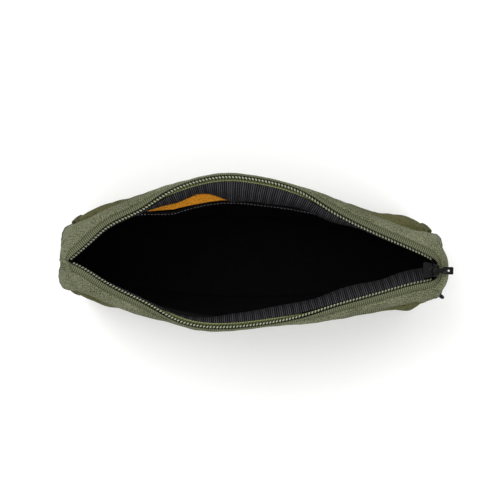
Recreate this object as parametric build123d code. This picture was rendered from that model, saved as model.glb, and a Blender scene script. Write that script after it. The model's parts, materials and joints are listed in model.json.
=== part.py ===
from build123d import *
import os

# Zipped cable organizer pouch, standing on its base with its mouth open.
# Millimetres. +X runs from the closed end of the zip to the slider, +Y to the back wall, +Z up.
# The origin is on the ground, under the middle of the base.

# --- driving dimensions ---
SEAM_Z = 78.0            # seam between the wall panels and the top strips
TAPE_LOW_Z = 86.0        # lower edge of the zip tape
COIL_LOW_Z = 92.6        # underside of the zip coil
COIL_HEIGHT = 2.8
SHELL = 1.4              # outer woven fabric
LINING_GAP = 0.4         # air between the outer fabric and the lining
LINING = 0.8
LINING_DROP = 2.0        # from the seam down to the lining's top edge
STRIP = 1.0              # top strip between a wall panel and the zip
CORNER_X = 79.0          # corner seams between the wall panels and the end gussets
PIECE_GAP = 0.3          # clearance between neighbouring soft pieces

# The walls at a few heights: (z, end bulge x, front corner y, front crest, back corner y, back crest).
# A crest is how far the wall bulges beyond its corners.
LEVELS = [
    (0.0, 81.0, 17.0, 4.0, 15.0, 5.0),
    (9.0, 83.5, 18.5, 8.0, 16.0, 10.0),
    (44.0, 85.0, 18.5, 14.0, 15.5, 20.0),
    (SEAM_Z, 84.0, 16.5, 14.0, 13.0, 20.5),
]

# Share of the crest that a wall reaches along its length.
CREST_SHARE = [(-79, 0), (-60, 0.33), (-38, 0.72), (-12, 1.0), (18, 0.80), (40, 0.50), (60, 0.18), (79, 0)]

# Middle of the zip coil on each side of the open mouth.
BACK_COIL = [
    (-81, -2), (-64, 11), (-50, 19), (-27, 31), (-8, 34),
    (18, 29), (34, 21.5), (52, 13), (75, 4),
]
FRONT_COIL = [
    (-81, -6), (-64, -13), (-40, -24.5), (-27, -29.3),
    (-12, -30.8), (22, -25.5), (50, -17), (75, -10.5),
]

# Zip
COIL_WIDTH = 2.8
TAPE = 0.6
TAPE_SET_IN = 0.8        # from the middle of the coil to the tape
GROSGRAIN = 0.8          # ribbed band that covers the zip's inner edge
GROSGRAIN_SET_IN = 3.2   # from the middle of the coil to the band
GROSGRAIN_LOW_Z = 77.0
GROSGRAIN_HIGH_Z = 91.0
ZIP_Y = -4.2             # line that the closed zip lies on

# Slider
SLIDER_X = 79.1
SLIDER_LOW_Z = 86.8
SLIDER_LENGTH = 7.0
SLIDER_WIDTH = 7.6
SLIDER_NOSE = 4.4
PLATE = 1.0
PLATE_GAP = 2.6          # the coils run between the two plates
PLATE_ROUND = 0.8
WEDGE_X = 1.4            # the wedge that parts the coils, from the slider's wide edge
WEDGE_LENGTH, WEDGE_WIDTH = 1.6, 1.2

# Bridge, with the pin that the puller swings on
PIN_X = 80.6
PIN_RISE = 1.6           # over the upper plate
PIN_RADIUS = 0.65
CHEEK_LENGTH, CHEEK_THICK = 2.4, 0.8

# Puller
PULLER_LENGTH = 8.0
PULLER_END = 4.4         # length of its square end
PULLER_WIDTH = 3.3
PULLER_THICK = 1.5
PULLER_END_THICK = 2.0
PULLER_NECK_WIDTH = 1.8
PULLER_ROUND = 0.5
PULLER_DROOP = 5.0       # degrees below level, as it rests
EYE_RADIUS = 1.45
EYE_BORE = 0.75
SLOT_LENGTH, SLOT_WIDTH = 1.6, 0.8
RUNNING_GAP = 0.35

# Slip pocket on the back wall
POCKET_TOP = 70.0
POCKET_LOW_Z = 3.6
POCKET_GAP = 1.0         # behind it, to the lining
POCKET_SAG = 9.0         # how far its open edge stands off the lining, at most
HEM = 4.0
# Share of that sag along the pocket, from its left seam to its right one.
SAG_SHARE = [(-66, 0), (-40, 0.75), (-22, 1.0), (0, 0.75), (30, 0.35), (62, 0)]

# Sewn stop at the closed end of the zip
STOP_X, STOP_Z = -82.2, 87.0
STOP_SIZE = (2.0, 7.0, 5.0)
STOP_ROUND = 0.6

# Folded webbing tab in the right gusset
TAB_X, TAB_Y, TAB_Z = 85.0, -15.2, 60.0
TAB_TURN = -41.0         # it points out of the corner, between the end and the front
TAB_WIDTH, TAB_LENGTH, TAB_THICK = 8.0, 5.8, 2.2
TAB_ROUND = 0.8

BIG = 200.0              # side of a trimming box that clears the whole pouch

os.makedirs("parts", exist_ok=True)


def save(shape, name):
    """Write one sub-part to its own STEP file."""
    export_step(shape, f"parts/{name}.step")


def inset(x, y, corner_y, depth):
    """Move an outline point inwards, fully beyond the corners and in proportion between them."""
    share_x = max(-1.0, min(1.0, x / CORNER_X))
    share_y = max(-1.0, min(1.0, y / corner_y))
    return (x - depth * share_x, y - depth * share_y)


def wall_line(level, side, depth):
    """Points of the front (side -1) or back (side +1) wall at one level, from left to right."""
    corner, crest = (level[2], level[3]) if side < 0 else (level[4], level[5])
    return [inset(x, side * (corner + crest * share), corner, depth) for x, share in CREST_SHARE]


def end_line(level, end, depth):
    """Points of the left (end -1) or right (end +1) gusset at one level, from front to back."""
    bulge, front, back = level[1], level[2], level[4]
    front_point = inset(end * CORNER_X, -front, front, depth)
    middle = (end * (bulge - depth), (back - front) / 2)
    back_point = inset(end * CORNER_X, back, back, depth)
    return [front_point, middle, back_point]


def ribbon(outer, inner, z):
    """Flat face at height z between two lines of points that run the same way."""
    a, b = Spline(*outer), Spline(*inner)
    outline = Wire([a, b, Line(a @ 0, b @ 0), Line(a @ 1, b @ 1)])
    return Pos(0, 0, z) * make_face(outline)


def stack(line, key, outer_depth, thickness, levels):
    """Wall lofted through its levels, from one depth under the outer surface to another."""
    faces = []
    for level in levels:
        outer = line(level, key, outer_depth)
        inner = line(level, key, outer_depth + thickness)
        faces.append(ribbon(outer, inner, level[0]))
    return loft(faces)


def between(low, high, share):
    """Level at a share of the way between two levels."""
    return tuple(a + (b - a) * share for a, b in zip(low, high))


def floor_slab(level, depth, z, thickness):
    """Slab inside the walls' outline at one level."""
    lines = [
        wall_line(level, -1, depth),
        end_line(level, 1, depth),
        wall_line(level, 1, depth),
        end_line(level, -1, depth),
    ]
    edges = [Spline(*points) for points in lines]
    return extrude(Pos(0, 0, z) * make_face(Wire(edges)), thickness)


def make_walls(depth, thickness, low_z, high_z, names):
    """Front, back, left and right walls of one layer, the ends trimmed to meet the front and back."""
    levels = [(SHELL,) + LEVELS[0][1:]] + LEVELS[1:]
    span = Pos(0, 0, (low_z + high_z) / 2) * Box(BIG, BIG, high_z - low_z)
    front = stack(wall_line, -1, depth, thickness, levels) & span
    back = stack(wall_line, 1, depth, thickness, levels) & span
    save(front, names[0])
    save(back, names[1])
    for end, name in zip((-1, 1), names[2:]):
        save((stack(end_line, end, depth, thickness, levels) & span) - front - back, name)


def make_outer_shell():
    """Four outer walls and the base panel that they are sewn to."""
    names = ("front_panel", "back_panel", "left_gusset", "right_gusset")
    make_walls(0, SHELL, SHELL, SEAM_Z, names)
    save(floor_slab(LEVELS[0], 0, 0, SHELL), "base_panel")


def make_lining():
    """Lining of each wall and of the base, a little inside the outer shell."""
    depth = SHELL + LINING_GAP
    names = ("front_lining", "back_lining", "left_lining", "right_lining")
    make_walls(depth, LINING, depth + LINING, SEAM_Z - LINING_DROP, names)
    save(floor_slab(LEVELS[0], depth, depth, LINING), "base_lining")


def offset_points(points, side, depth):
    """A coil's line moved towards the middle of the mouth by a depth."""
    return [(x, y - side * depth) for x, y in points]


def lip_ribbon(points, side, depth, width, low_z, high_z):
    """Upright band that follows a lip, its outer face at a depth inside the coil's middle."""
    outer = offset_points(points, side, depth)
    inner = offset_points(points, side, depth + width)
    return extrude(ribbon(outer, inner, low_z), high_z - low_z)


def make_strip(points, side):
    """Top strip from the seam on a wall panel up to the outer edge of the zip tape."""
    seam = wall_line(LEVELS[-1], side, 0)
    seam_inner = wall_line(LEVELS[-1], side, STRIP)
    low = ribbon(seam, seam_inner, SEAM_Z + PIECE_GAP)
    gap = COIL_WIDTH / 2 + PIECE_GAP
    high = ribbon(offset_points(points, side, -gap - STRIP), offset_points(points, side, -gap), COIL_LOW_Z)
    return loft([low, high])


def make_lip(points, side, name):
    """One lip of the mouth: top strip, zip tape, coil and the ribbed band on its inner side."""
    save(make_strip(points, side), f"{name}_top_strip")
    coil_top = COIL_LOW_Z + COIL_HEIGHT
    coil = lip_ribbon(points, side, -COIL_WIDTH / 2, COIL_WIDTH, COIL_LOW_Z, coil_top)
    save(coil, f"{name}_coil")
    tape = lip_ribbon(points, side, TAPE_SET_IN, TAPE, TAPE_LOW_Z, COIL_LOW_Z)
    save(tape, f"{name}_zip_tape")
    inner = points[1:-1]
    band = lip_ribbon(inner, side, GROSGRAIN_SET_IN, GROSGRAIN, GROSGRAIN_LOW_Z, GROSGRAIN_HIGH_Z)
    save(band, f"{name}_grosgrain")


def level_between(z):
    """Wall's level at a height between the listed ones."""
    above = [level[0] >= z for level in LEVELS].index(True)
    low, high = LEVELS[above - 1], LEVELS[above]
    return between(low, high, (z - low[0]) / (high[0] - low[0]))


def pocket_line(z, extra, sag):
    """Points of the pocket at a height, an extra depth in front of its back face."""
    depth = SHELL + LINING_GAP + LINING + POCKET_GAP
    wall = Spline(*wall_line(level_between(z), 1, depth + extra))
    points = []
    for x, share in SAG_SHARE:
        hit = wall.intersect(Line((x, 0), (x, BIG)))
        y = hit[0].Y if isinstance(hit, list) else hit.Y
        points.append((x, y - sag * share))
    return points


def pocket_face(z, sag):
    """Slip pocket's section at a height."""
    return ribbon(pocket_line(z, 0, sag), pocket_line(z, LINING, sag), z)


def hem_face(z):
    """Section of the pocket's hem, a little thicker than the pocket."""
    fold = PIECE_GAP / 2
    return ribbon(pocket_line(z, -fold, POCKET_SAG), pocket_line(z, LINING + fold, POCKET_SAG), z)


def make_pocket():
    """Slip pocket sewn over the back lining, its open edge hanging forward, with a stitched hem."""
    hem_z = POCKET_TOP - HEM
    low_z, middle_z = LEVELS[1][0], LEVELS[2][0]
    heights = [(POCKET_LOW_Z, 0), (low_z, 0), (middle_z, POCKET_SAG / 2), (hem_z, POCKET_SAG)]
    save(loft([pocket_face(z, sag) for z, sag in heights]), "slip_pocket")
    save(loft([hem_face(hem_z), hem_face(POCKET_TOP)]), "pocket_hem")


def slider_plate(z):
    """One plate of the slider, narrower at its nose."""
    half, nose = SLIDER_WIDTH / 2, SLIDER_NOSE / 2
    left, right = -SLIDER_LENGTH / 2, SLIDER_LENGTH / 2
    outline = Polyline((left, -half), (right, -nose), (right, nose), (left, half), close=True)
    sheet = fillet(make_face(outline).vertices(), PLATE_ROUND)
    return Pos(SLIDER_X, ZIP_Y, z) * extrude(sheet, PLATE)


def bridge(top_z, pin_z):
    """Two cheeks on the upper plate, with a round pin between them."""
    reach = PULLER_WIDTH / 2 + RUNNING_GAP
    pin = Pos(PIN_X, ZIP_Y, pin_z) * Rot(90, 0, 0) * Cylinder(PIN_RADIUS, 2 * reach)
    for side in (-1, 1):
        y = ZIP_Y + side * (reach + CHEEK_THICK / 2)
        cheek = Box(CHEEK_LENGTH, CHEEK_THICK, pin_z - top_z)
        cap = Rot(90, 0, 0) * Cylinder(CHEEK_LENGTH / 2, CHEEK_THICK)
        pin += Pos(PIN_X, y, (top_z + pin_z) / 2) * cheek + Pos(PIN_X, y, pin_z) * cap
    return pin


def make_slider():
    """Zip slider: two plates joined by a wedge, with a bridge on top that holds the puller."""
    channel_z = SLIDER_LOW_Z + PLATE
    upper_z = channel_z + PLATE_GAP
    pin_z = upper_z + PLATE + PIN_RISE
    wedge_x = SLIDER_X - SLIDER_LENGTH / 2 + WEDGE_X
    wedge = Box(WEDGE_LENGTH, WEDGE_WIDTH, PLATE_GAP)
    slider = slider_plate(SLIDER_LOW_Z) + slider_plate(upper_z)
    slider += Pos(wedge_x, ZIP_Y, channel_z + PLATE_GAP / 2) * wedge
    slider += bridge(upper_z + PLATE, pin_z)
    save(slider, "slider_body")
    return pin_z


def make_puller(pin_z):
    """Puller: an eye on the bridge's pin, a narrow neck and a square end with a slot for a cord."""
    turned = Rot(90, 0, 0)
    eye = turned * Cylinder(EYE_RADIUS, PULLER_NECK_WIDTH)
    bore = turned * Cylinder(EYE_BORE, 2 * PULLER_WIDTH)
    neck_length = PULLER_LENGTH - PULLER_END
    neck = Pos(neck_length / 2, 0, 0) * Box(neck_length, PULLER_NECK_WIDTH, PULLER_THICK)
    end_place = Pos(PULLER_LENGTH - PULLER_END / 2, 0, 0)
    end = end_place * Box(PULLER_END, PULLER_WIDTH, PULLER_END_THICK)
    end = fillet(end.edges().filter_by(Axis.Z), PULLER_ROUND)
    slot = end_place * Box(SLOT_LENGTH, SLOT_WIDTH, 2 * PULLER_END_THICK)
    puller = eye + neck + end - slot - bore
    save(Pos(PIN_X, ZIP_Y, pin_z) * Rot(0, PULLER_DROOP, 0) * puller, "zip_puller")


def make_trim():
    """Sewn stop at the zip's closed end, and the folded tab in the right gusset's front edge."""
    stop = Box(*STOP_SIZE)
    stop = fillet(stop.edges().filter_by(Axis.Z), STOP_ROUND)
    save(Pos(STOP_X, ZIP_Y, STOP_Z) * stop, "zip_end_stop")
    tab = Box(TAB_LENGTH, TAB_THICK, TAB_WIDTH)
    tab = fillet(tab.edges().filter_by(Axis.Z), TAB_ROUND)
    save(Pos(TAB_X, TAB_Y, TAB_Z) * Rot(0, 0, TAB_TURN) * tab, "side_tab")


make_outer_shell()
make_lining()
make_lip(FRONT_COIL, -1, "front")
make_lip(BACK_COIL, 1, "back")
make_pocket()
make_puller(make_slider())
make_trim()
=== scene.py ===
import bpy
import collections
import json
import math
import numpy as np
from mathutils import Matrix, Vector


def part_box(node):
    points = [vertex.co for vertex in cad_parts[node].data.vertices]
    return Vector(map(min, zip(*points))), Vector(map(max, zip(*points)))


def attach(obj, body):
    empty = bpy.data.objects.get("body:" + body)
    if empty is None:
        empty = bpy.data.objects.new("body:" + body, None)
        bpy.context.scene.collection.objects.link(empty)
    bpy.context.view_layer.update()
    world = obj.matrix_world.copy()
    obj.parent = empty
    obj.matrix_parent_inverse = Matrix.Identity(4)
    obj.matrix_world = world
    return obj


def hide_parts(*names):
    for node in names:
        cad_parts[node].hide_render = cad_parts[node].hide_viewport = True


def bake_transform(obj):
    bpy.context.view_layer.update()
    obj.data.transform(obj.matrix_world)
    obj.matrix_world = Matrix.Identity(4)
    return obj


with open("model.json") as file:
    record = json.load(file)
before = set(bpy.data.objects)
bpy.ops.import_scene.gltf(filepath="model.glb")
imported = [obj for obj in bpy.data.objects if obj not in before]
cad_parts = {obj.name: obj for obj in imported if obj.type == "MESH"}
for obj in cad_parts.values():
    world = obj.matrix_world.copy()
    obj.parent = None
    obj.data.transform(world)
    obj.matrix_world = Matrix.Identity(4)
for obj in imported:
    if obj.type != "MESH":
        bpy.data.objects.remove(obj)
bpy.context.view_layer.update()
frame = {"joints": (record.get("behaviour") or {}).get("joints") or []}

# An open zip pouch in woven nylon. Shapes are worked out in millimetres and turned to metres in new_mesh.
MM = 0.001


def box_mm(node):
    """Lowest and highest corner of a CAD node, in millimetres."""
    low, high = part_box(node)
    return np.array(low) / MM, np.array(high) / MM


# --- places read from the frame ---
PANEL_HIGH = box_mm("front_panel")[1]
SEAM_Z = PANEL_HIGH[2]
CORNER_X = PANEL_HIGH[0]
COIL_TOP = box_mm("back_coil")[1][2]
SLIDER_LOW, SLIDER_HIGH = box_mm("slider_body")
ZIP_Y = (SLIDER_LOW[1] + SLIDER_HIGH[1]) / 2
POCKET_HIGH = box_mm("pocket_hem")[1]
POCKET_LOW = box_mm("slip_pocket")[0]
JOINTS = {joint["name"]: joint for joint in frame["joints"]}
BACK_SHIFT = JOINTS["back_lip_close"]["range_m"][1] / MM
FRONT_SHIFT = JOINTS["front_lip_close"]["range_m"][1] / MM

# --- shape of the walls at four heights; each crest stands out past its corner by the amount given ---
HEIGHT, END_BULGE, FRONT_CORNER, FRONT_CREST, BACK_CORNER, BACK_CREST = range(6)
LEVELS = np.array([
    (0.0, 81.0, 17.0, 4.0, 15.0, 5.0),
    (9.0, 83.5, 18.5, 8.0, 16.0, 10.0),
    (44.0, 85.0, 18.5, 14.0, 15.5, 20.0),
    (78.0, 84.0, 16.5, 14.0, 13.0, 20.5),
])
# share of the crest along x
CREST_SHARE = np.array([
    (-79, 0), (-60, 0.33), (-38, 0.72), (-12, 1.0), (18, 0.80), (40, 0.50), (60, 0.18), (79, 0),
])

# --- middle of each coil, from the closed end of the zip to the slider ---
BACK_COIL = np.array([
    (-81.8, -4.2), (-77, 0), (-70.7, 5.6), (-64.3, 11.3), (-50, 18.9), (-38.3, 26), (-27.5, 30.7),
    (-10.9, 34.0), (1, 33.2), (20.8, 28.3), (34.1, 21.4), (47.7, 14.8), (61, 9.4), (74.7, 3.9), (79.8, 1.3),
    (82.2, -1.2), (82.8, -4.1),
])
FRONT_COIL = np.array([
    (-81.8, -4.4), (-76.2, -6.6), (-64.3, -13.2), (-52.4, -18.8), (-40.6, -24.1), (-28.7, -29.1),
    (-14, -30.8), (4.6, -29), (22.1, -25.5), (39.5, -20.3), (57.8, -15), (75, -10.2), (80.4, -8.6),
    (82.4, -6.8), (82.8, -4.3),
])

# --- the seam round the top of the walls, at the left end; the right end is its mirror image ---
BACK_SEAM_END = [(-82.9, -4.2), (-83.4, 4), (-81.6, 10.6)]
FRONT_SEAM_END = [(-82.9, -4.2), (-84.2, -10.5), (-82, -15.6)]
END_TO_END = 0.6         # a place at the left end and its twin at the right end add up to this
SEAM_INSET = 1.2         # from a wall's outer face in to the seam
SEAM_MORE_INSET = 0.9    # and more towards both ends of the back wall
SEAM_LAP = 2.2           # how far the strips lap down over the gussets

ZIP_END_Z = 86.0         # height of the zip's line at its two ends
CREST_Z = 95.3           # and at its crest
RISE = 4.0               # how strongly height counts against depth in the fold that closes a lip
COIL_HALF = 0.1          # from the closed line to the middle of a coil's heads
HEAD = 1.2               # from the middle of a coil to its heads
PITCH = 1.46             # coil turns
COIL_UV = 0.001          # length of one turn in the coil's UV
COIL_HALF_WIDTH = 1.35
COIL_HALF_HEIGHT = 0.45
COIL_WIRE = 0.27
HEAD_SWELL = 0.12        # how much thicker the wire is at a turn's head
FOLD_FROM = 2.9          # from the coil's middle to the strip's folded edge
FOLD_LIFT = 1.9          # height of the strip's face over the coil's middle
STATIONS = 420           # points along a lip

# --- zip tape: distance from the coil's middle, and height over it ---
TAPE_STEPS = np.array([-0.45, -0.1, 0.5, 1.2, 2.0, 3.0, 4.5, 6.0, 7.5])
TAPE_DROPS = np.array([1.2, 1.4, 1.45, 1.35, 1.2, 1.0, 0.8, 0.6, 0.4])

# --- width of the ribbed bands, by the share of the way along the lip ---
BACK_BAND = np.array([
    (0.0, -2.4), (0.14, -2.4), (0.19, -2.0), (0.25, 0.4), (0.305, 2.0), (0.36, 1.9), (0.39, 3.4), (0.43, 6.8),
    (0.455, 8.4), (0.535, 6.4), (0.64, 3.4), (0.71, 1.8), (0.785, -1.2), (0.88, -2.2), (1.0, -2.4),
])
FRONT_BAND = np.array([
    (0.0, -2.2), (0.15, -2.0), (0.3, -1.2), (0.38, 0.6), (0.46, 2.4), (0.55, 3.6), (0.7, 3.8), (0.85, 3.4),
    (0.93, 4.4), (0.97, 5.0), (1.0, 3.0),
])

# --- how far the outer panels stand out from their seams, along x ---
BACK_PUFF = np.array([
    (-79, 1.6), (-70, 2.4), (-50, 1.8), (-20, 1.4), (0, 1.1),
    (25, 0.2), (42, -0.5), (52, 0.8), (62, 2.0), (79, 2.2),
])
FRONT_PUFF = np.array([
    (-79, 1.8), (-68, 2.4), (-50, 1.4), (-20, 1.2), (5, 0.0),
    (20, -0.3), (38, 1.2), (55, 3.4), (72, 3.8), (79, 1.8),
])

# --- slip pocket and the back lining above it ---
POCKET_OFF = 5.0         # from the back wall's outer face to the pocket
POCKET_SAG = 5.7         # how far its open edge hangs forward, at most
POCKET_SIDES = np.array([
    (POCKET_LOW[0], 0), (-52, 0.1), (-44, 0.6), (-35, 0.95),
    (-24, 0.97), (-7, 0.95), (25, 0.5), (POCKET_HIGH[0], 0),
])
BELLY_DEPTH = 6.3        # how far the lining above the pocket bellies forward, at most
BELLY = np.array([(-60, 0), (-52, 0.1), (-44, 0.55), (-35, 0.9), (-24, 0.95), (-7, 0.9), (6, 0.5), (20, 0.1)])
HEM = 3.6

# --- thickness of the cloths ---
PANEL_CLOTH = 1.1
STRIP_CLOTH = 0.7
TAPE_CLOTH = 0.45
BAND_CLOTH = 0.5
LINING_CLOTH = 0.5
UP = np.array([0, 0, 1.0])


def spline(points, count):
    """Evenly spaced points on a smooth curve through the given points."""
    points = np.asarray(points, float)
    steps = np.linalg.norm(np.diff(points, axis=0), axis=1)
    knots = np.concatenate([[0], np.cumsum(steps)])
    n = len(points)
    h = np.diff(knots)
    system = np.eye(n)
    right = np.zeros((n, points.shape[1]))
    for i in range(1, n - 1):
        system[i, i - 1:i + 2] = h[i - 1], 2 * (h[i - 1] + h[i]), h[i]
        right[i] = 6 * ((points[i + 1] - points[i]) / h[i] - (points[i] - points[i - 1]) / h[i - 1])
    bend = np.linalg.solve(system, right)

    def at(t):
        k = np.clip(np.searchsorted(knots, t) - 1, 0, n - 2)
        left, hk = t - knots[k], h[k]
        rest = hk - left
        left, rest, hk = left[:, None], rest[:, None], hk[:, None]
        return (bend[k] * rest ** 3 + bend[k + 1] * left ** 3) / (6 * hk) \
            + (points[k] / hk - bend[k] * hk / 6) * rest + (points[k + 1] / hk - bend[k + 1] * hk / 6) * left

    fine = at(np.linspace(0, knots[-1], 1200))
    run = np.concatenate([[0], np.cumsum(np.linalg.norm(np.diff(fine, axis=0), axis=1))])
    places = np.linspace(0, run[-1], count)
    return np.stack([np.interp(places, run, fine[:, k]) for k in range(points.shape[1])], axis=1)


def along(line):
    """Distance along a line of points."""
    steps = np.linalg.norm(np.diff(line, axis=0), axis=1)
    return np.concatenate([[0], np.cumsum(steps)])


def unit(vectors):
    """Vectors brought to length 1."""
    return vectors / np.maximum(np.linalg.norm(vectors, axis=-1, keepdims=True), 1e-9)


def tangents(line):
    """Direction of a line at each of its points."""
    return unit(np.gradient(line, axis=0))


def smoothstep(t):
    """0 up to t = 0, 1 from t = 1, smooth between."""
    t = np.clip(t, 0, 1)
    return t * t * (3 - 2 * t)


def ripple(p, size, seed):
    """Smooth seeded noise of about unit height at points p, with features of about the given size."""
    source = np.random.default_rng(seed)
    total = np.zeros(p.shape[:-1])
    for _ in range(7):
        direction = source.normal(size=p.shape[-1])
        direction /= np.linalg.norm(direction)
        wave = size * source.uniform(0.6, 1.6)
        phase = source.uniform(0, 6.28)
        strength = source.uniform(0.4, 1.0)
        total += np.sin(p @ direction * 2 * math.pi / wave + phase) * strength
    return total / 2.2


def fold_height(y, side):
    """Height of a coil at depth y, so that its lip closes onto a straight line."""
    shift = BACK_SHIFT if side > 0 else FRONT_SHIFT
    closed = ZIP_Y + side * COIL_HALF
    share = np.clip((side * (y - closed)) / shift, 0, 1)
    rise = 0.5 - np.sin(np.arcsin(1 - 2 * share) / 3)
    start = side * closed + RISE * ZIP_END_Z
    span = RISE * CREST_Z + side * closed + shift - start
    return (start + span * rise - side * y) / RISE


def lip_fold(piece):
    """Bake the transform of a piece of a lip into its mesh."""
    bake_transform(piece)


# ---------------------------------------------------------------- meshes

def show(name, data):
    """New object in the scene."""
    obj = bpy.data.objects.new(name, data)
    bpy.context.scene.collection.objects.link(obj)
    return obj


def new_mesh(name, verts, faces, material, uv):
    """Smooth object from millimetre points, with a UV per vertex in metres of cloth."""
    mesh = bpy.data.meshes.new(name)
    mesh.from_pydata((np.asarray(verts) * MM).tolist(), [], faces)
    layer = mesh.uv_layers.new(name="cloth")
    loops = np.zeros(len(mesh.loops), dtype=np.int32)
    mesh.loops.foreach_get("vertex_index", loops)
    layer.data.foreach_set("uv", (np.asarray(uv)[loops] * MM).astype(np.float32).ravel())
    mesh.materials.append(material)
    mesh.polygons.foreach_set("use_smooth", [True] * len(mesh.polygons))
    mesh.validate()
    mesh.update()
    return show(name, mesh)


def grid_faces(nu, nv, flip):
    """Quads over a grid of points, turned over if flip is set."""
    faces = []
    for i in range(nu - 1):
        for j in range(nv - 1):
            a, b = i * nv + j, (i + 1) * nv + j
            quad = (a, b, b + 1, a + 1)
            faces.append(quad[::-1] if flip else quad)
    return faces


def sheet(name, grid, material, thickness, flip=False, side_down=-1):
    """Smooth sheet from a grid of points (nu, nv, 3), its thickness added on one side of its face."""
    nu, nv = grid.shape[:2]
    u = along(grid[:, nv // 2])
    v = along(grid[nu // 2])
    uv = np.stack(np.meshgrid(u, v, indexing="ij"), axis=-1).reshape(-1, 2)
    obj = new_mesh(name, grid.reshape(-1, 3), grid_faces(nu, nv, flip), material, uv)
    solid = obj.modifiers.new("thickness", "SOLIDIFY")
    solid.thickness = thickness * MM
    solid.offset = side_down
    solid.use_even_offset = False
    return obj


def frames_along(path):
    """Two directions across a path at each point, turning as little as possible."""
    t = tangents(path)
    a = np.zeros_like(path)
    first = np.cross(t[0], [0, 0, 1.0])
    a[0] = unit(first if np.linalg.norm(first) > 0.1 else np.cross(t[0], [0, 1.0, 0]))
    for i in range(1, len(path)):
        step = a[i - 1] - t[i] * (a[i - 1] @ t[i])
        a[i] = unit(step)
    return a, np.cross(t, a)


def tube_parts(path, radius, sides=8, start=0):
    """Vertices, faces and UVs of a capped tube round a path."""
    a, b = frames_along(path)
    angle = np.linspace(0, 2 * math.pi, sides, endpoint=False)
    radius = np.broadcast_to(radius, len(path))
    ring = np.cos(angle)[None, :, None] * a[:, None] + np.sin(angle)[None, :, None] * b[:, None]
    verts = (path[:, None] + ring * radius[:, None, None]).reshape(-1, 3)
    faces = []
    for i in range(len(path) - 1):
        for j in range(sides):
            k = (j + 1) % sides
            faces.append((start + i * sides + j, start + i * sides + k,
                          start + (i + 1) * sides + k, start + (i + 1) * sides + j))
    faces.append(tuple(start + j for j in range(sides))[::-1])
    last = start + (len(path) - 1) * sides
    faces.append(tuple(last + j for j in range(sides)))
    run = along(path)
    uv = np.stack([np.repeat(run, sides), np.tile(angle * radius.mean(), len(path))], axis=1)
    return verts, faces, uv


def tubes(name, paths, radius, material, sides=8):
    """One object made of many tubes."""
    verts, faces, uvs, count = [], [], [], 0
    for path in paths:
        v, f, uv = tube_parts(np.asarray(path), radius, sides, count)
        verts.append(v)
        faces += f
        uvs.append(uv)
        count += len(v)
    return new_mesh(name, np.concatenate(verts), faces, material, np.concatenate(uvs))


def stitch_paths(line, lift, length=2.3, gap=0.7, dip=0.35):
    """Short arched stitches along a line; lift is the direction out of the cloth at each point."""
    run = along(line)
    paths = []
    place = gap
    while place + length < run[-1]:
        t = np.linspace(0, 1, 6)
        here = place + t * length
        p = np.stack([np.interp(here, run, line[:, k]) for k in range(3)], axis=1)
        n = np.stack([np.interp(here, run, lift[:, k]) for k in range(3)], axis=1)
        arch = (np.sin(t * math.pi) ** 0.6)[:, None]
        paths.append(p + n * (arch * dip * 1.2 - dip * 0.6))
        place += length + gap
    return paths


# ---------------------------------------------------------------- materials

class Nodes:
    """Small helper that adds and links shader nodes."""

    def __init__(self, name, colour, roughness):
        self.material = bpy.data.materials.new(name)
        self.material.use_nodes = True
        self.tree = self.material.node_tree
        self.shader = self.tree.nodes["Principled BSDF"]
        self.shader.inputs["Base Color"].default_value = (*colour, 1)
        self.shader.inputs["Roughness"].default_value = roughness

    def add(self, kind, **values):
        """New node, each value set on the socket or property of that name."""
        node = self.tree.nodes.new(kind)
        for key, value in values.items():
            if key in node.inputs:
                node.inputs[key].default_value = value
            else:
                setattr(node, key, value)
        return node

    def link(self, a, b):
        self.tree.links.new(a, b)

    def math(self, operation, a, b=None):
        """Output of a math node; a and b are numbers or sockets."""
        node = self.add("ShaderNodeMath", operation=operation)
        for socket, value in zip(node.inputs, (a, b)):
            if value is None:
                continue
            if isinstance(value, (int, float)):
                socket.default_value = value
            else:
                self.link(value, socket)
        return node.outputs[0]

    def mix(self, factor, a, b):
        """Colour between a and b, each a colour or a socket."""
        node = self.add("ShaderNodeMix", data_type="RGBA")
        self.link(factor, node.inputs["Factor"])
        for socket, value in ((node.inputs[6], a), (node.inputs[7], b)):
            if isinstance(value, tuple):
                socket.default_value = (*value, 1)
            else:
                self.link(value, socket)
        return node.outputs[2]

    def noise(self, scale, detail):
        """Noise in the object's own space."""
        node = self.add("ShaderNodeTexNoise")
        node.inputs["Scale"].default_value = scale
        node.inputs["Detail"].default_value = detail
        self.link(self.add("ShaderNodeTexCoord").outputs["Object"], node.inputs["Vector"])
        return node.outputs["Fac"]

    def bump(self, height, strength, distance):
        """Bump the shader's normal by a height socket."""
        node = self.add("ShaderNodeBump")
        node.inputs["Strength"].default_value = strength
        node.inputs["Distance"].default_value = distance
        self.link(height, node.inputs["Height"])
        self.link(node.outputs["Normal"], self.shader.inputs["Normal"])

    def cloth_uv(self):
        """The two coordinates along the cloth, in metres."""
        uv = self.add("ShaderNodeUVMap", uv_map="cloth")
        split = self.add("ShaderNodeSeparateXYZ")
        self.link(uv.outputs["UV"], split.inputs[0])
        return split.outputs[0], split.outputs[1]

    def wave(self, value, pitch):
        """Sine of a socket, once round for each pitch."""
        return self.math("SINE", self.math("MULTIPLY", value, 2 * math.pi / pitch))

    def half(self, value):
        """A socket from -1..1 brought to 0..1."""
        return self.math("ADD", self.math("MULTIPLY", value, 0.5), 0.5)

    def nudge(self, value, noise, size):
        """A socket pushed about by centred noise."""
        return self.math("ADD", value, self.math("MULTIPLY", self.math("SUBTRACT", noise, 0.5), size))

    def threads(self, u, v, pitch):
        """Plain weave: 1 on top of a thread, 0 between threads."""
        return self.half(self.math("MULTIPLY", self.wave(u, pitch), self.wave(v, pitch)))


def shade(colour, share):
    """A colour made darker or lighter."""
    return tuple(c * share for c in colour)


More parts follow.
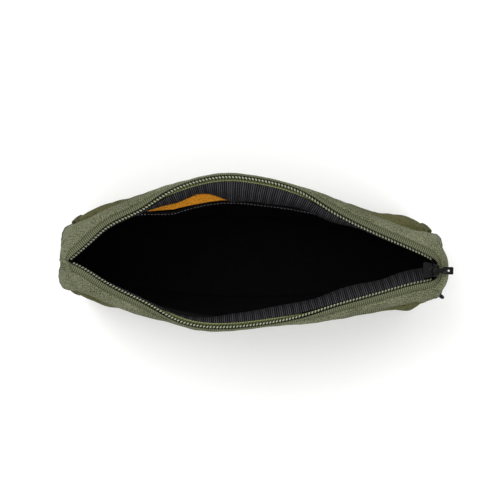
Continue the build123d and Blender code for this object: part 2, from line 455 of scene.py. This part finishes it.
def woven(name, colour, light, pitch, worn, sheen=0.0, depth=0.00022):
    """Woven nylon: a plain weave with uneven threads, faded patches, pale flecks and dark pits."""
    n = Nodes(name, colour, 0.85)
    u, v = n.cloth_uv()
    drift = n.noise(900.0, 2.0)
    weave = n.threads(n.nudge(u, drift, pitch * 0.35), n.nudge(v, drift, pitch * 0.35), pitch)
    patches = n.noise(55.0, 5.0)
    fade = n.math("MULTIPLY", n.math("POWER", patches, 2.0), worn * 2.2)
    flecks = n.noise(2100.0, 2.0)
    base = n.mix(weave, shade(colour, 0.20), shade(colour, 1.50))
    base = n.mix(fade, base, light)
    speckle = n.math("MULTIPLY", n.math("GREATER_THAN", flecks, 0.56), 0.55)
    base = n.mix(speckle, base, light)
    pits = n.math("MULTIPLY", n.math("LESS_THAN", flecks, 0.43), 0.65)
    n.link(n.mix(pits, base, shade(colour, 0.3)), n.shader.inputs["Base Color"])
    rough = n.math("ADD", n.math("MULTIPLY", patches, 0.15), 0.77)
    n.link(rough, n.shader.inputs["Roughness"])
    n.shader.inputs["Sheen Weight"].default_value = sheen
    n.shader.inputs["Sheen Roughness"].default_value = 0.5
    n.shader.inputs["Specular IOR Level"].default_value = 0.15
    n.bump(n.math("ADD", weave, n.math("MULTIPLY", drift, 0.6)), 1.0, depth)
    return n.material


def ribbed(name, colour, light, pitch):
    """Grosgrain: firm ribs across the band, with a fine crossing thread on each rib; their crests carry a
    painted highlight.
    """
    n = Nodes(name, colour, 0.6)
    u, v = n.cloth_uv()
    rib = n.half(n.wave(n.nudge(u, n.noise(160.0, 2.0), pitch * 0.6), pitch))
    fine = n.half(n.wave(v, 0.0007))
    # painted highlight: the rib crests, crossed by the fine thread, are painted toward the light colour
    ridge_highlight = n.math("MULTIPLY", n.math("POWER", rib, 3.0), n.math("ADD", n.math("MULTIPLY", fine, 0.45), 0.55))
    n.link(n.mix(ridge_highlight, colour, light), n.shader.inputs["Base Color"])
    n.link(n.math("ADD", n.math("MULTIPLY", fine, 0.15), 0.5), n.shader.inputs["Roughness"])
    n.shader.inputs["Specular IOR Level"].default_value = 0.15
    n.bump(n.math("ADD", rib, n.math("MULTIPLY", fine, 0.25)), 0.9, 0.00035)
    return n.material


def thread(name, colour, light, pitch=0.0006):
    """Twisted sewing thread, with a painted highlight along the ridges of its twist."""
    n = Nodes(name, colour, 0.6)
    u, v = n.cloth_uv()
    # painted highlight along the ridges of the twist, which also raise the bump
    ridge_highlight = n.half(n.wave(n.math("ADD", u, n.math("MULTIPLY", v, 1.5)), pitch))
    n.link(n.mix(ridge_highlight, colour, light), n.shader.inputs["Base Color"])
    n.shader.inputs["Specular IOR Level"].default_value = 0.2
    n.bump(ridge_highlight, 0.5, 0.0001)
    return n.material


def lacquer(name, colour, scratch):
    """Lacquered die casting: faint orange peel, with paler rubbed spots."""
    n = Nodes(name, colour, 0.38)
    grain = n.noise(1800.0, 3.0)
    rub = n.math("MULTIPLY", n.math("GREATER_THAN", n.noise(420.0, 6.0), 0.62), 0.5)
    n.link(n.mix(rub, colour, scratch), n.shader.inputs["Base Color"])
    n.link(n.math("ADD", n.math("MULTIPLY", grain, 0.25), 0.25), n.shader.inputs["Roughness"])
    n.shader.inputs["Specular IOR Level"].default_value = 0.12
    n.shader.inputs["Coat Weight"].default_value = 0.03
    n.bump(grain, 0.25, 0.00006)
    return n.material


def monofilament(name, colour, light):
    """Dyed nylon coil: slightly glossy and scuffed, with a painted highlight on the head of each turn."""
    n = Nodes(name, colour, 0.35)
    scuff = n.noise(2200.0, 4.0)
    turn = n.cloth_uv()[0]
    phase = n.math("COSINE", n.math("MULTIPLY", turn, 2 * math.pi / COIL_UV))
    # painted highlight on the head of each turn, mottled by the scuff noise
    head_highlight = n.math("POWER", n.math("MAXIMUM", n.math("MULTIPLY", phase, -1.0), 0.0), 3.0)
    head_highlight = n.math("MULTIPLY", head_highlight, n.math("ADD", n.math("MULTIPLY", scuff, 0.5), 0.6))
    n.link(n.mix(head_highlight, colour, light), n.shader.inputs["Base Color"])
    n.link(n.math("ADD", n.math("MULTIPLY", scuff, 0.3), 0.2), n.shader.inputs["Roughness"])
    n.shader.inputs["Coat Weight"].default_value = 0.3
    n.bump(scuff, 0.2, 0.00005)
    return n.material


OLIVE = woven("olive_cordura", (0.058, 0.058, 0.014), (0.15, 0.152, 0.055), 0.0010, 0.5, depth=0.0004)
OLIVE_STRIP = woven("olive_strip", (0.084, 0.090, 0.040), (0.25, 0.265, 0.17), 0.0010, 0.6, depth=0.0004)
# TAPE, BINDING, the threads and COIL take a second colour that is a painted highlight
TAPE = ribbed("olive_zip_tape", (0.062, 0.067, 0.031), (0.24, 0.255, 0.160), 0.0009)
BINDING = ribbed("black_grosgrain", (0.0006, 0.0006, 0.0008), (0.085, 0.082, 0.090), 0.00095)
LINING = woven("black_lining", (0.0025, 0.0025, 0.003), (0.006, 0.006, 0.007), 0.0006, 0.2)
ORANGE = woven(
    "orange_lining", (0.60, 0.22, 0.008), (0.72, 0.30, 0.02), 0.0005, 0.4, sheen=0.02, depth=0.0001,
)
OLIVE_THREAD = thread("olive_thread", (0.014, 0.017, 0.005), (0.10, 0.115, 0.045), 0.0014)
PALE_THREAD = thread("pale_thread", (0.08, 0.095, 0.025), (0.34, 0.37, 0.16), 0.0014)
DARK_THREAD_AND_SHADOW = thread("dark_thread_and_shadow", (0.006, 0.007, 0.003), (0.025, 0.028, 0.012))
GREY_THREAD = thread("grey_thread", (0.10, 0.095, 0.11), (0.36, 0.35, 0.38))
COIL = monofilament("olive_coil", (0.014, 0.017, 0.005), (0.30, 0.33, 0.21))
METAL = lacquer("black_lacquer", (0.002, 0.002, 0.0025), (0.028, 0.027, 0.028))

# sewing threads and filler cord of a coil: name, place along the tape, height, radius, material
COIL_THREADS = (
    ("chain_thread", 0.2, -0.45, 0.34, OLIVE_THREAD),
    ("edge_thread", 1.5, -0.75, 0.34, PALE_THREAD),
    ("face_thread", 0.8, 1.5, 0.17, PALE_THREAD),
    ("filler_cord", 0.1, 0.3, 0.35, DARK_THREAD_AND_SHADOW),
)


# ---------------------------------------------------------------- camera, floor and light

VIEW_WIDTH = 0.219       # width of the view at the height of the lips, in metres
CAMERA_HEIGHT = 1.15     # above the lips
CAMERA_X, CAMERA_Y = -0.0005, 0.0028
LIPS_BELOW_TOP = 0.004
CAMERA_TURN = 1.36       # degrees
SENSOR = 0.036
FLOOR_HALF = 3.0
DAYLIGHT = 0.95

# name, place, turn in degrees, size, power
LAMPS = (
    ("key", (-0.5, 0.5, 1.3), (-20, -20, 0), 0.9, 9.0),
    ("fill", (0.8, -0.7, 0.9), (38, 38, 0), 1.0, 4.0),
)


def make_camera():
    """Straight-down camera, turned a little against the pouch."""
    bpy.context.scene.view_settings.view_transform = "Standard"
    lens = SENSOR * CAMERA_HEIGHT / VIEW_WIDTH
    camera = bpy.data.cameras.new("camera")
    camera.sensor_width = SENSOR * 1000
    camera.lens = lens * 1000
    eye = show("camera", camera)
    eye.location = (CAMERA_X, CAMERA_Y, COIL_TOP * MM - LIPS_BELOW_TOP + CAMERA_HEIGHT)
    eye.rotation_euler = (0, 0, math.radians(CAMERA_TURN))
    bpy.context.scene.camera = eye


def make_studio():
    """Pale floor, an even white surround and two soft lamps."""
    corners = [(x * FLOOR_HALF, y * FLOOR_HALF, 0) for x, y in ((-1, -1), (1, -1), (1, 1), (-1, 1))]
    mesh = bpy.data.meshes.new("floor")
    mesh.from_pydata(corners, [], [(0, 1, 2, 3)])
    mesh.materials.append(Nodes("floor_paint", (1.0, 1.0, 1.0), 1.0).material)
    floor = show("floor", mesh)

    world = bpy.data.worlds.new("studio")
    world.use_nodes = True
    backdrop = world.node_tree.nodes["Background"]
    backdrop.inputs["Color"].default_value = (1, 1, 1, 1)
    backdrop.inputs["Strength"].default_value = DAYLIGHT
    bpy.context.scene.world = world
    for name, spot, turn, size, power in LAMPS:
        light = bpy.data.lights.new(name, "AREA")
        light.size = size
        light.energy = power
        lamp = show(name, light)
        lamp.location = spot
        lamp.rotation_euler = [math.radians(a) for a in turn]


# ---------------------------------------------------------------- walls

def level_at(z):
    """Wall shape at heights z, smooth between the levels."""
    knots = LEVELS[:, HEIGHT]
    out = [np.asarray(z, float)]
    for k in range(1, LEVELS.shape[1]):
        values = LEVELS[:, k]
        slopes = np.gradient(values, knots)
        i = np.clip(np.searchsorted(knots, z) - 1, 0, len(knots) - 2)
        h = knots[i + 1] - knots[i]
        t = (z - knots[i]) / h
        out.append((2 * t ** 3 - 3 * t ** 2 + 1) * values[i] + (t ** 3 - 2 * t ** 2 + t) * h * slopes[i]
                   + (3 * t ** 2 - 2 * t ** 3) * values[i + 1] + (t ** 3 - t ** 2) * h * slopes[i + 1])
    return out


CREST_LINE = spline(CREST_SHARE * np.array([1, 40]), 300) / np.array([1, 40])


def wall_y(x, z, side):
    """Depth of the outer face of the front (-1) or back (+1) wall."""
    level = level_at(z)
    corner = level[FRONT_CORNER] if side < 0 else level[BACK_CORNER]
    crest = level[FRONT_CREST] if side < 0 else level[BACK_CREST]
    share = np.interp(x, CREST_LINE[:, 0], CREST_LINE[:, 1])
    return side * (corner + crest * share)


def wall_grid(side, nu, nv, depth=0.0, low=0.0, high=None, puff=None, seed=1, wrinkle=0.8):
    """Points on a wall, puffed between its seams and gently creased."""
    high = SEAM_Z if high is None else high
    u = np.linspace(-1, 1, nu)
    v = np.linspace(0, 1, nv)
    x = np.sign(u) * np.abs(u) ** 0.94 * (CORNER_X - depth * 0.6)
    xx, zz = np.meshgrid(x, low + v * (high - low), indexing="ij")
    y = wall_y(xx, zz, side)
    grid = np.stack([xx, y, zz], axis=-1)
    uu, vv = np.meshgrid(u, v * 2 - 1, indexing="ij")
    edge = (1 - np.abs(uu) ** 22) * (1 - np.abs(vv) ** 8)
    if puff is None:
        along_x = BACK_PUFF if side > 0 else FRONT_PUFF
        puff = np.interp(xx, along_x[:, 0], along_x[:, 1]) * (0.45 + 0.55 * smoothstep((zz - 20) / 45))
    creases = ripple(grid * np.array([1, 0.4, 0.55]), 34, seed)
    creases = creases + 0.5 * ripple(grid * np.array([1, 0.3, 0.8]), 13, seed + 1)
    # tension folds fan out of the upper corners
    for corner in (-1, 1):
        fan = np.arctan2(SEAM_Z - zz, corner * (corner * CORNER_X - xx) + 3)
        reach = np.exp(-((corner * CORNER_X - xx) ** 2 + (SEAM_Z - zz) ** 2) / 38.0 ** 2)
        creases += 1.1 * reach * np.sin(fan * 9 + seed)
    out = puff * edge + wrinkle * edge * creases - depth
    grid[..., 1] += side * out
    grid[..., 2] += 0.25 * edge * creases
    return grid


def end_grid(end, nu, nv, depth=0.0, low=0.0, high=None, seed=5):
    """Points on the left (-1) or right (+1) gusset, rounded between the corner seams."""
    high = SEAM_Z if high is None else high
    u = np.linspace(-1, 1, nu)
    z = low + np.linspace(0, 1, nv) * (high - low)
    level = level_at(z)
    bulge = level[END_BULGE][None]
    front = level[FRONT_CORNER][None] - depth * 0.8
    back = level[BACK_CORNER][None] - depth * 0.8
    y = np.where(u[:, None] < 0, u[:, None] * front, u[:, None] * back)
    x = CORNER_X + (bulge - CORNER_X) * (1 - np.abs(u[:, None]) ** 2.6)
    grid = np.stack([end * x, y, np.broadcast_to(z, x.shape)], axis=-1)
    edge = (1 - np.abs(u[:, None]) ** 8) * (1 - np.abs(np.linspace(-1, 1, nv)[None]) ** 10)
    creases = ripple(grid * np.array([0.4, 1.2, 0.6]), 22, seed)
    grid[..., 0] += end * ((0.5 + 0.4 * creases) * edge - depth)
    return grid


def floor_grid(nu, nv, depth=0.0, low=0.0):
    """Points across the bottom, between the feet of the two walls, widened into the rounded ends."""
    front = wall_grid(-1, nu, 2, depth=depth, low=low, puff=0, wrinkle=0)[:, 0]
    back = wall_grid(1, nu, 2, depth=depth, low=low, puff=0, wrinkle=0)[:, 0]
    v = np.linspace(0, 1, nv)[None, :, None]
    grid = front[:, None] * (1 - v) + back[:, None] * v
    across = np.linspace(-1, 1, nv)[None]
    grid[..., 0] *= 1 + (LEVELS[0, END_BULGE] / CORNER_X - 1) * (1 - across ** 2)
    return grid


def make_base():
    """Bottom panel: a rounded sheet whose edge turns up into the walls."""
    nu, nv = 121, 25
    grid = floor_grid(nu, nv)
    u = np.linspace(-1, 1, nu)[:, None]
    v = np.linspace(-1, 1, nv)[None]
    grid[..., 2] = 0.05 + 0.9 * np.maximum(np.abs(u) ** 24, np.abs(v) ** 14)
    base = sheet("base", grid, OLIVE, 1.0, side_down=1)
    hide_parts("base_panel")
    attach(base, "pouch")


def make_walls():
    """Outer front and back panels and the two end gussets."""
    for side, node, seed in ((-1, "front_panel", 11), (1, "back_panel", 23)):
        grid = wall_grid(side, 181, 91, seed=seed)
        # the top edge turns in where it is sewn to the top strip, and the foot turns under
        v = np.linspace(0, 1, grid.shape[1])[None]
        grid[..., 1] -= side * (1.3 * smoothstep((v - 0.965) / 0.035) + 1.6 * smoothstep((0.05 - v) / 0.05))
        wall = sheet(node + "_cloth", grid, OLIVE, PANEL_CLOTH, flip=side > 0)
        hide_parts(node)
        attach(wall, "pouch")
    for end, node, seed in ((-1, "left_gusset", 31), (1, "right_gusset", 37)):
        grid = end_grid(end, 49, 81, seed=seed)
        cloth = sheet(node + "_cloth", grid, OLIVE, PANEL_CLOTH, flip=end < 0)
        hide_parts(node)
        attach(cloth, "pouch")


def make_corner_seams():
    """Turned seam down each corner: a low roll of cloth with a row of stitches beside it."""
    for side in (-1, 1):
        for end in (-1, 1):
            z = np.linspace(1.6, SEAM_Z, 90)
            tuck = 0.9 * (1 - smoothstep(z / 9))
            level = level_at(z)
            corner = level[FRONT_CORNER] if side < 0 else level[BACK_CORNER]
            line = np.stack([end * (CORNER_X + 0.1 - tuck), side * (corner + 0.15 - tuck), z], axis=1)
            name = ("back" if side > 0 else "front") + ("_right" if end > 0 else "_left")
            roll = tubes(name + "_corner_seam", [line], 0.75, OLIVE, 10)
            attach(roll, "pouch")
            inward = np.stack([np.full_like(z, end * (CORNER_X - 2.1)), corner, z], axis=1)
            inward[:, 1] = wall_y(inward[:, 0], z, side) + side * 0.45
            lift = np.tile(np.array([0, side * 1.0, 0]), (len(z), 1))
            row = tubes(name + "_corner_stitches", stitch_paths(inward, lift), 0.19, OLIVE_THREAD, 6)
            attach(row, "pouch")


# ---------------------------------------------------------------- lips

Lip = collections.namedtuple("Lip", "line forward tape normal outward tilt")


def tilt_of(y, side):
    """Angle of the zip tape below level: nearly flat at the ends of the mouth, upright at its crest."""
    share = np.clip(side * (y - ZIP_Y) / (BACK_SHIFT if side > 0 else FRONT_SHIFT), 0, 1)
    return np.radians(14 + 30 * smoothstep(share * 1.4) + 52 * smoothstep((share - 0.60) / 0.33))


def coil_line(side):
    """Middle of a coil, at the height that brings its heads onto the closed line when its lip folds."""
    flat = spline(BACK_COIL if side > 0 else FRONT_COIL, STATIONS)
    tilt = tilt_of(flat[:, 1], side)
    head_y = flat[:, 1] - side * HEAD * np.cos(tilt)
    return np.column_stack([flat, fold_height(head_y, side) - HEAD * np.sin(tilt)])


def seam_line(side):
    """Seam at the foot of a top strip, from the left end's middle round to the right end's."""
    end = BACK_SEAM_END if side > 0 else FRONT_SEAM_END
    x = np.linspace(-CORNER_X + 2, CORNER_X - 2, 24)
    inset = SEAM_INSET + (SEAM_MORE_INSET * smoothstep((np.abs(x + 4) - 40) / 14) if side > 0 else 0)
    wall = np.stack([x, wall_y(x, np.full_like(x, SEAM_Z - 0.5), side) - side * inset], axis=1)
    other = [(END_TO_END - x, y) for x, y in end[::-1]]
    flat = spline(np.concatenate([end, wall, other]), STATIONS)
    lap = SEAM_LAP * smoothstep((np.abs(flat[:, 0]) - 77) / 4)
    return np.column_stack([flat, SEAM_Z - lap])


def lip_frame(side):
    """Coil line, its tangent, the direction of the tape away from the coil, and the tape's outer normal."""
    line = coil_line(side)
    forward = tangents(line)
    outward = unit(np.cross(forward, UP) * np.array([1, 1, 0])) * -side
    tilt = tilt_of(line[:, 1], side)
    tape = outward * np.cos(tilt)[:, None] - UP * np.sin(tilt)[:, None]
    normal = outward * np.sin(tilt)[:, None] + UP * np.cos(tilt)[:, None]
    return Lip(line, forward, tape, normal, outward, tilt)


def fold_from(side):
    """Distance along the tape from a coil's middle to the strip's fold, shorter where there is less room."""
    lip = lip_frame(side)
    gap = seam_line(side) - lip.line
    level = np.sum(gap * lip.outward, axis=1) * np.cos(lip.tilt)
    room = level - gap[:, 2] * np.sin(lip.tilt)
    return np.clip(room * 0.35, 0.5, FOLD_FROM)[:, None]


def bezier(p0, p1, p2, p3, v):
    """Points at shares v of the way along a row of cubic curves."""
    v = v[None, :, None]
    p0, p1, p2, p3 = (p[:, None] for p in (p0, p1, p2, p3))
    return p0 * (1 - v) ** 3 + 3 * p1 * v * (1 - v) ** 2 + 3 * p2 * v ** 2 * (1 - v) + p3 * v ** 3


def meet_at_ends(grid, side):
    """Bring a lip's two ends to the middle plane of the zip, where the other lip begins."""
    run = along(coil_line(side))
    near = smoothstep(np.minimum(run, run[-1] - run) / 4.5)[:, None]
    grid[..., 1] = ZIP_Y * (1 - near) + grid[..., 1] * near
    return grid


def strip_grid(side):
    """Top strip: out of the fold by the zip, down along the tape, then over to the seam."""
    lip = lip_frame(side)
    seam = seam_line(side)
    start = lip.line + lip.tape * fold_from(side) + lip.normal * FOLD_LIFT
    reach = np.linalg.norm(seam - start, axis=1)[:, None]
    p1 = start + lip.tape * reach * 0.38 + lip.normal * reach * 0.10
    p2 = seam + UP * reach * 0.30 - lip.outward * reach * 0.02
    v = np.linspace(0, 1, 34)
    grid = bezier(start, p1, p2, seam, v)
    soft = np.sin(v[None] * math.pi) ** 0.8
    creases = ripple(grid * np.array([1, 0.7, 0.7]), 21, 40 + side) + 0.5 * ripple(grid, 8, 44 + side)
    grid += (lip.outward[:, None] * 0.5 + UP * 0.35) * (creases * soft * 0.9)[..., None]
    return meet_at_ends(grid, side)


def make_strip(side, name):
    """Top strip of a lip, its folded edge by the zip, and a row of stitches along the fold."""
    grid = strip_grid(side)
    lip = lip_frame(side)
    tape, normal = lip.tape, lip.normal
    first = grid[:, 0]
    # the folded edge is a short return under the strip
    under = [
        first - normal * 0.75 + tape * 0.7,
        first - normal * 0.7 + tape * 0.1,
        first - normal * 0.4 - tape * 0.18,
    ]
    grid = np.concatenate([np.stack(under, axis=1), grid], axis=1)
    strip = sheet(name + "_strip_cloth", grid, OLIVE_STRIP, STRIP_CLOTH, flip=side > 0)
    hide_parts(name + "_top_strip")
    lip_fold(strip)

    inset = first + tape * 1.5 + normal * 0.12
    row = tubes(name + "_fold_stitches", stitch_paths(inset, normal, 1.9, 0.6, 0.3), 0.16, OLIVE_THREAD, 6)
    lip_fold(row)


def make_tape(side, name):
    """Zip tape between the coil and the fold, and on down behind the strip."""
    lip = lip_frame(side)
    steps = np.where(TAPE_STEPS[None] > 0, TAPE_STEPS[None] * fold_from(side) / FOLD_FROM, TAPE_STEPS[None])
    grid = lip.line[:, None] + lip.tape[:, None] * steps[..., None]
    grid = grid + lip.normal[:, None] * TAPE_DROPS[None, :, None]
    grid = meet_at_ends(grid, side)
    cloth = sheet(name + "_tape_cloth", grid, TAPE, TAPE_CLOTH, flip=side > 0)
    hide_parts(name + "_zip_tape")
    lip_fold(cloth)


def coil_reach(side):
    """Where a coil starts and stops along its lip: the front one half a turn later, so that the two mesh."""
    run = along(coil_line(side))
    return 3.0 if side > 0 else 3.0 + PITCH / 2, run[-1] - 6.5


def make_coil(side, name):
    """Continuous coil of monofilament, whose heads are flattened and swell past the tape's edge."""
    lip = lip_frame(side)
    run = along(lip.line)
    start, stop = coil_reach(side)
    turns = int((stop - start) / PITCH)
    angle = np.linspace(0, 2 * math.pi * turns, turns * 14 + 1)
    place = start + angle / (2 * math.pi) * PITCH

    def at(values):
        return np.stack([np.interp(place, run, values[:, k]) for k in range(3)], axis=1)

    across = -np.cos(angle)
    width = COIL_HALF_WIDTH * np.sign(across) * np.abs(across) ** 0.85
    height = COIL_HALF_HEIGHT * np.sin(angle)
    lean = 0.10 * PITCH * np.sin(2 * angle)
    path = at(lip.line) + at(lip.tape) * (0.15 - width)[:, None]
    path = path + at(lip.normal) * (0.3 + height)[:, None] + at(lip.forward) * lean[:, None]
    radius = COIL_WIRE + HEAD_SWELL * np.clip(across, 0, 1) ** 4
    sides = 7
    verts, faces, uv = tube_parts(path, radius, sides)
    # the turn count in the UV places the painted highlight on each head
    uv[:, 0] = np.repeat(angle / (2 * math.pi), sides)
    coil = new_mesh(name + "_coil_turns", verts, faces, COIL, uv)
    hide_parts(name + "_coil")
    lip_fold(coil)


def make_coil_threads(side, name):
    """Sewing threads that hold the coil on its tape, and the filler cord that runs through it."""
    lip = lip_frame(side)
    run = along(lip.line)
    start, stop = coil_reach(side)
    inside = (run > start) & (run < stop)
    line, tape, normal = lip.line[inside], lip.tape[inside], lip.normal[inside]
    turn = run[inside] / PITCH * 2 * math.pi
    for label, where, lift, size, cloth in COIL_THREADS:
        path = line + tape * where + normal * lift
        path = path + tape * (np.sin(turn) * 0.12)[:, None] + normal * (-np.cos(2 * turn) * 0.08)[:, None]
        row = tubes(f"{name}_{label}", [path], size, cloth, 7)
        lip_fold(row)


def band_grid(side):
    """Ribbed band from under the coil to its free edge, which ruffles."""
    lip = lip_frame(side)
    run = along(lip.line)
    table = BACK_BAND if side > 0 else FRONT_BAND
    width = np.interp(run / run[-1], table[:, 0], table[:, 1])
    width = width + 0.35 * np.sin(run / 9.0 + side) + 0.25 * np.sin(run / 4.1)
    v = np.linspace(0, 1, 22)
    top = lip.line - lip.outward * 0.9 - UP * 1.9
    foot = lip.line - lip.outward * (1.9 + width)[:, None] - UP * (8 + width * 0.5)[:, None]
    bow = np.sin(v * math.pi)[None, :, None] * (0.8 + 0.10 * width)[:, None, None]
    grid = top[:, None] * (1 - v)[None, :, None] + foot[:, None] * v[None, :, None]
    grid += (-lip.outward[:, None] * 0.6 + UP * 0.8) * bow
    rib = np.sin(run / 1.25 * 2 * math.pi)[:, None] * 0.10
    ruffle = np.sin(run / 7.3 + 1.1 * np.sin(run / 15))[:, None] * 0.5 * v[None] ** 2
    grid += (-lip.outward[:, None] * 0.7 + UP * 0.7) * (rib + ruffle)[..., None]
    # the free edge is folded under
    fold = grid[:, -1] - UP * 0.9 + lip.outward * 0.2
    back = grid[:, -2] - UP * 1.3 + lip.outward * 0.9
    return np.concatenate([grid, fold[:, None], back[:, None]], axis=1)


def make_band(side, name):
    """Ribbed band that hides the seam allowances inside the lip, hanging from under the coil."""
    band = sheet(name + "_band", band_grid(side), BINDING, BAND_CLOTH, flip=side < 0)
    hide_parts(name + "_grosgrain")
    lip_fold(band)


def make_top_seam(side, name):
    """Dark stitched seam between a wall panel and its top strip, with a dark cord in its groove as painted
    shadow.
    """
    seam = seam_line(side)
    out = unit(np.cross(tangents(seam), UP)) * -side
    groove = seam + out * 0.5 - UP * 0.1
    # painted shadow: a dark cord in the groove stands in for its shade
    cord = tubes(name + "_seam_shadow", [groove], 0.5, DARK_THREAD_AND_SHADOW, 8)
    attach(cord, "pouch")
    stitches = stitch_paths(seam + out * 0.75 + UP * 0.1, unit(out + UP * 0.6), 1.9, 0.8, 0.3)
    row = tubes(name + "_seam_stitches", stitches, 0.2, DARK_THREAD_AND_SHADOW, 6)
    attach(row, "pouch")


# ---------------------------------------------------------------- inside

def make_wall_lining(side, node, cloth):
    """Lining of the front or back wall, carried on up behind the strip to the ribbed band."""
    seed = 51 + side
    grid = wall_grid(side, 121, 61, depth=3.2, low=2.4, high=SEAM_Z - 1.0, puff=-0.6, seed=seed, wrinkle=0.3)
    lip = lip_frame(side)
    if side > 0:
        belly = BELLY_DEPTH * np.interp(grid[..., 0], BELLY[:, 0], BELLY[:, 1])
        grid[..., 1] -= belly * smoothstep((grid[..., 2] - POCKET_HIGH[2] + 6) / 7)
    top = grid[:, -1]
    x = np.clip(top[:, 0], lip.line[:, 0].min() + 2, lip.line[:, 0].max() - 2)
    behind = lip.line + lip.outward * 0.6 - UP * 6.5
    under = np.stack([np.interp(x, lip.line[:, 0], behind[:, k]) for k in range(3)], axis=1)
    v = np.linspace(0, 1, 14)[None, 1:, None]
    grid = np.concatenate([grid, top[:, None] * (1 - v) + under[:, None] * v], axis=1)
    piece = sheet(node + "_cloth", grid, cloth, LINING_CLOTH, flip=side < 0)
    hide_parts(node)
    lip_fold(piece)


def make_lining():
    """Lining of the walls, the ends and the floor; the back wall's is orange above the slip pocket."""
    make_wall_lining(-1, "front_lining", LINING)
    make_wall_lining(1, "back_lining", ORANGE)
    for end, node in ((-1, "left_lining"), (1, "right_lining")):
        grid = end_grid(end, 41, 61, depth=2.6, low=2.4, high=SEAM_Z + 2, seed=61 + end)
        piece = sheet(node + "_cloth", grid, LINING, LINING_CLOTH, flip=end > 0)
        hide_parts(node)
        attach(piece, "pouch")
    grid = floor_grid(81, 21, depth=3.0, low=2.6)
    grid[..., 2] += 0.4 * ripple(grid, 24, 71)
    floor = sheet("base_lining_cloth", grid, LINING, LINING_CLOTH)
    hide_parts("base_lining")
    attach(floor, "pouch")


def pocket_grid(nu, nv, low, high, lift):
    """Slip pocket's face: flat on the lining at its foot and sides, hanging forward at its open edge."""
    x = np.linspace(POCKET_LOW[0], POCKET_HIGH[0], nu)
    z = np.linspace(low, high, nv)
    xx, zz = np.meshgrid(x, z, indexing="ij")
    share = (zz - POCKET_LOW[2]) / (POCKET_HIGH[2] - POCKET_LOW[2])
    sides = np.interp(xx, POCKET_SIDES[:, 0], POCKET_SIDES[:, 1])
    sag = POCKET_SAG * sides * smoothstep(share * 0.9 + 0.1)
    y = wall_y(xx, zz, 1) - POCKET_OFF - sag - lift
    grid = np.stack([xx, y, zz], axis=-1)
    grid[..., 1] += 0.45 * ripple(grid * np.array([1, 0, 0.6]), 26, 83) * np.clip(sides * 2, 0, 1)
    return grid


def make_pocket():
    """Slip pocket, its hem rolled to a double edge, and the hem's row of stitches."""
    edge = POCKET_HIGH[2]
    body = pocket_grid(121, 41, POCKET_LOW[2], edge - HEM + 0.4, 0.0)
    body = sheet("slip_pocket_cloth", body, LINING, LINING_CLOTH)
    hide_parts("slip_pocket")
    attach(body, "pouch")

    front = pocket_grid(161, 9, edge - HEM, edge, 0.35)
    back = pocket_grid(161, 9, edge - HEM, edge, -0.55)[:, ::-1]
    top = (front[:, -1] + back[:, 0]) / 2 + UP * 0.45
    grid = np.concatenate([front, top[:, None], back], axis=1)
    roll = sheet("pocket_hem_cloth", grid, LINING, 0.35)
    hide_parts("pocket_hem")
    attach(roll, "pouch")

    line = pocket_grid(161, 2, edge - 0.5, edge - 0.1, 0.75)[:, 1]
    lift = np.tile(np.array([0, -0.7, 0.7]), (len(line), 1))
    row = tubes("pocket_hem_stitches", stitch_paths(line, lift, 0.75, 0.75, 0.2), 0.12, GREY_THREAD, 6)
    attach(row, "pouch")


# ---------------------------------------------------------------- trim and slider

STOP_HALF_X, STOP_HALF_Y = 1.6, 3.4
TAB_TURN = -41.0         # degrees: the tab points out of the corner, between the end and the front
TAB_ROOT = 3.5           # from the tab's middle in to its cut ends
TAB_BEND = 1.8           # from its middle out to the start of its fold
TAB_HALF = 0.75          # half the gap between its two layers


def make_end_stop():
    """Sewn patch across the closed end of the zip."""
    low, high = box_mm("zip_end_stop")
    middle = (low + high) / 2
    u = np.linspace(-1, 1, 24)[:, None]
    v = np.linspace(-1, 1, 16)[None]
    x = middle[0] + STOP_HALF_X * v + 0 * u
    y = middle[1] + STOP_HALF_Y * u + 0 * v
    z = ZIP_END_Z + 1.1 + 0.5 * (1 - u ** 4) * (1 - v ** 4) + 0.08 * np.sin(u * 22)
    stop = sheet("zip_end_stop_cloth", np.stack([x, y, z], axis=-1), TAPE, 0.9, side_down=1)
    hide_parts("zip_end_stop")
    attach(stop, "pouch")


def make_side_tab():
    """Folded webbing tab in the right front corner seam."""
    low, high = box_mm("side_tab")
    middle = (low + high) / 2
    turn = math.radians(TAB_TURN)
    out = np.array([math.cos(turn), math.sin(turn), 0])
    across = np.array([-math.sin(turn), math.cos(turn), 0])
    loop = [middle - out * TAB_ROOT - across * TAB_HALF]
    for a in np.linspace(-0.5 * math.pi, 0.5 * math.pi, 17):
        loop.append(middle + out * (TAB_BEND + TAB_HALF * math.cos(a)) + across * TAB_HALF * math.sin(a))
    loop.append(middle - out * TAB_ROOT + across * TAB_HALF)
    profile = spline(np.array(loop), 40)
    z = np.linspace(low[2], high[2], 20)
    grid = np.repeat(profile[:, None], len(z), axis=1)
    grid[..., 2] = z[None]
    tab = sheet("side_tab_cloth", grid, BINDING, 0.7)
    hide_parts("side_tab")
    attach(tab, "pouch")


def finish_metal():
    """Lacquer on the slider and its puller, which keep their CAD shapes."""
    for node in ("slider_body", "zip_puller"):
        for slot in bpy.data.objects[node].material_slots:
            slot.material = METAL


make_camera()
make_studio()
make_base()
make_walls()
make_corner_seams()
for lip_side, lip_name in ((1, "back"), (-1, "front")):
    make_strip(lip_side, lip_name)
    make_tape(lip_side, lip_name)
    make_coil(lip_side, lip_name)
    make_coil_threads(lip_side, lip_name)
    make_band(lip_side, lip_name)
    make_top_seam(lip_side, lip_name)
make_lining()
make_pocket()
make_end_stop()
make_side_tab()
finish_metal()
